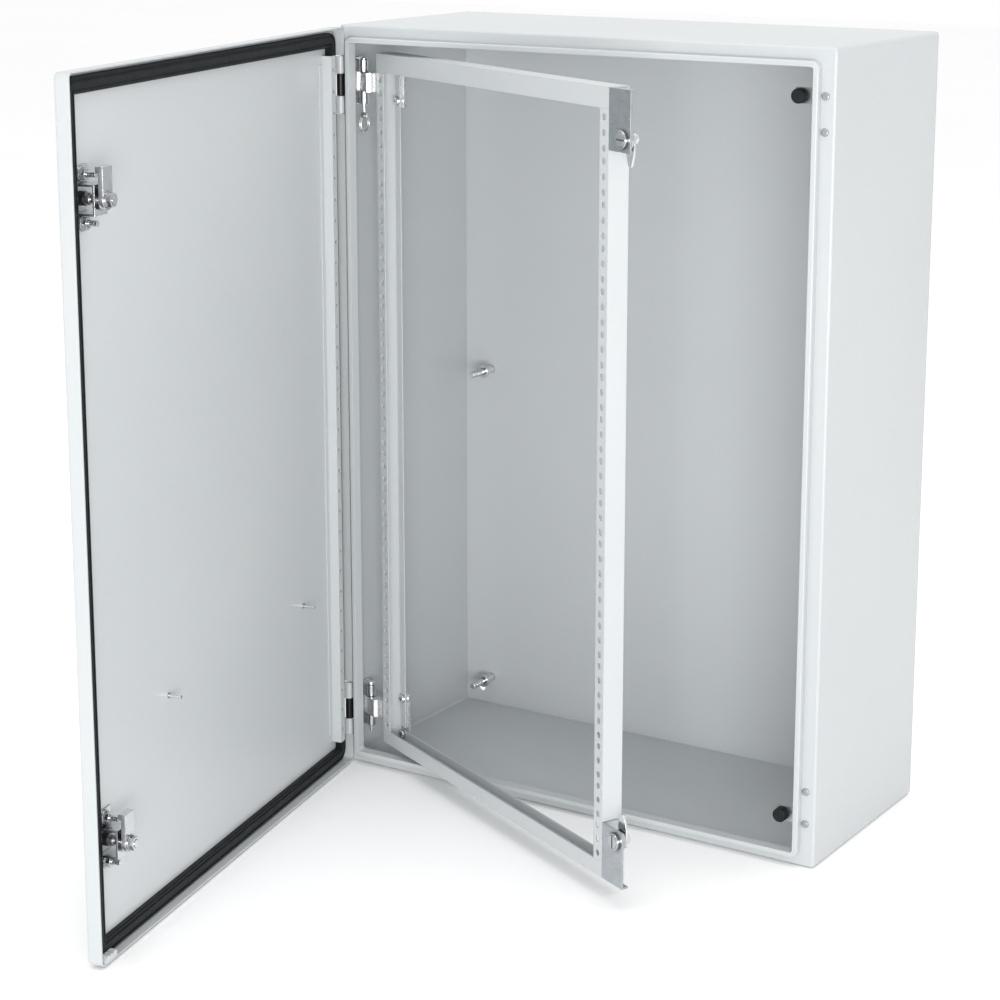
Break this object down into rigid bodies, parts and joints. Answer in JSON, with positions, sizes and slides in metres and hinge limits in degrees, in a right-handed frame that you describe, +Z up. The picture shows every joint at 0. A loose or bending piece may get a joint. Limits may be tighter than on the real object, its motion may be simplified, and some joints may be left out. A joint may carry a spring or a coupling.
{
  "type": "wall-mounted switchboard cabinet with swing frame",
  "caption": "Wall-mounted sheet-steel switchboard cabinet with a hinged sealed door and a hinged 19-inch swing frame for rack equipment.",
  "frame": {"origin": "centre of the wall-fixing hole pattern on the outer face of the rear wall", "axes": "+Z up, +Y out of the back towards the wall, +X to the right of a person facing the front; the front faces -Y"},
  "size_m": [0.6372, 0.8819, 0.9],
  "materials": {
    "powder_coat": "light grey powder coat, fine texture",
    "zinc": "bright zinc plate",
    "seal_black": "matt black foam or rubber",
    "plastic_black": "matt black",
    "plastic_grey": "matt light grey"
  },
  "bodies": {
    "cabinet": {"body_shell": "powder_coat", "bumper_brackets": "zinc", "bumpers": "seal_black", "door_hinge_fixed_lower": "plastic_black", "door_hinge_fixed_upper": "plastic_black", "door_hinge_pins": "zinc", "door_hinge_screws": "zinc", "flange_plugs": "zinc", "frame_bracket_lower": "zinc", "frame_bracket_screws": "zinc", "frame_bracket_upper": "zinc", "plate_spacers": "zinc", "plate_studs": "zinc", "plate_washers": "zinc", "rear_wall": "powder_coat"},
    "door": {"door_gasket": "seal_black", "door_hinge_moving_lower": "powder_coat", "door_hinge_moving_upper": "powder_coat", "door_lock_barrel_lower": "plastic_black", "door_lock_barrel_upper": "plastic_black", "door_lock_bracket_lower": "zinc", "door_lock_bracket_upper": "zinc", "door_lock_collar_lower": "zinc", "door_lock_collar_upper": "zinc", "door_lock_nuts": "zinc", "door_lock_studs": "zinc", "door_panel": "powder_coat", "door_rail": "zinc", "door_ramp": "plastic_grey", "door_weld_studs": "zinc"},
    "swing_frame": {"frame_bottom_rail": "powder_coat", "frame_hinge_block_lower": "zinc", "frame_hinge_block_upper": "zinc", "frame_hinge_screws": "zinc", "frame_left_rail": "powder_coat", "frame_lock_barrel_lower": "zinc", "frame_lock_barrel_upper": "zinc", "frame_lock_plate_lower": "zinc", "frame_lock_plate_upper": "zinc", "frame_right_rail": "powder_coat", "frame_top_rail": "powder_coat"},
    "door_lock_upper": {"door_lock_rotor_upper": "zinc", "door_lock_cam_upper": "zinc", "door_lock_cam_nut_upper": "zinc"},
    "door_lock_lower": {"door_lock_rotor_lower": "zinc", "door_lock_cam_lower": "zinc", "door_lock_cam_nut_lower": "zinc"},
    "frame_lock_upper": {"frame_lock_rotor_upper": "zinc", "frame_lock_tongue_upper": "zinc", "frame_lock_nut_upper": "zinc"},
    "frame_lock_lower": {"frame_lock_rotor_lower": "zinc", "frame_lock_tongue_lower": "zinc", "frame_lock_nut_lower": "zinc"},
    "pin_upper": {"frame_pin_upper": "zinc"},
    "ring": {"pull_ring": "zinc"},
    "pin_lower": {"frame_pin_lower": "zinc"}
  },
  "joints": [
    {"name": "door_hinge", "type": "hinge", "parent": "cabinet", "child": "door", "pos_m": [-0.3105, -0.2705, 0], "axis": [0, 0, -1], "range_deg": [-78, 42]},
    {"name": "frame_follow", "type": "hinge", "parent": "cabinet", "child": "pin_lower", "pos_m": [-0.2984, -0.241, 0], "axis": [0, 0, -1], "range_deg": [-26, 14]},
    {"name": "frame_swing", "type": "hinge", "parent": "pin_lower", "child": "swing_frame", "pos_m": [-0.2984, -0.241, 0], "axis": [0, 0, -1], "range_deg": [0, 40]},
    {"name": "door_lock_turn_upper", "type": "hinge", "parent": "door", "child": "door_lock_upper", "pos_m": [-0.2011, -0.84532, 0.325], "axis": [0.9781, 0.2079, 0], "range_deg": [0, 90]},
    {"name": "door_lock_turn_lower", "type": "hinge", "parent": "door", "child": "door_lock_lower", "pos_m": [-0.2011, -0.84532, -0.325], "axis": [0.9781, 0.2079, 0], "range_deg": [0, 90]},
    {"name": "frame_lock_turn_upper", "type": "hinge", "parent": "swing_frame", "child": "frame_lock_upper", "pos_m": [0.1798, -0.46979, 0.3675], "axis": [-0.4384, -0.8988, 0], "range_deg": [0, 90]},
    {"name": "frame_lock_turn_lower", "type": "hinge", "parent": "swing_frame", "child": "frame_lock_lower", "pos_m": [0.1798, -0.46979, -0.3755], "axis": [0.4384, 0.8988, 0], "range_deg": [0, 90]},
    {"name": "frame_pin_pull", "type": "slide", "parent": "cabinet", "child": "pin_upper", "axis": [0, 0, -1], "range_m": [0, 0.041]},
    {"name": "ring_swing", "type": "hinge", "parent": "pin_upper", "child": "ring", "pos_m": [-0.2984, -0.241, 0.3435], "axis": [-0.1392, 0.9903, 0], "range_deg": [-30, 30]}
  ],
  "couplings": [
    {"joint": "frame_follow", "follows": "door_hinge", "ratio": 0.33333}
  ]
}
